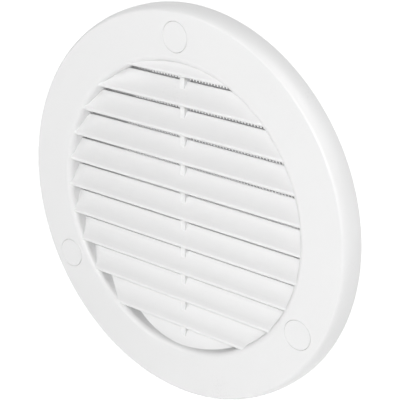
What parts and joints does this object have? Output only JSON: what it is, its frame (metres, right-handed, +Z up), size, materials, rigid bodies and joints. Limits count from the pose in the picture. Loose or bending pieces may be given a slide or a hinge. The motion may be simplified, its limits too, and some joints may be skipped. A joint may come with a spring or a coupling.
{
  "type": "round vent cover",
  "caption": "Round louvred wall vent cover with a flat flange, an insect screen behind fixed slats, a duct collar at the back and press-in caps over its screw holes.",
  "frame": {"origin": "centre of the flange's rear rim, in the plane of the wall", "axes": "+Y points into the wall along the collar, +Z is up and +X is to the right seen from the front"},
  "size_m": [0.13, 0.0327, 0.13],
  "materials": {
    "white_plastic": "satin white moulded plastic",
    "screen_mesh": "dark grey woven fly-screen mesh with a welded rim"
  },
  "bodies": {
    "root": {"grille_body": "white_plastic", "insect_screen": "screen_mesh", "screw_cap_top": "white_plastic", "screw_cap_left": "white_plastic", "screw_cap_right": "white_plastic"}
  },
  "joints": []
}
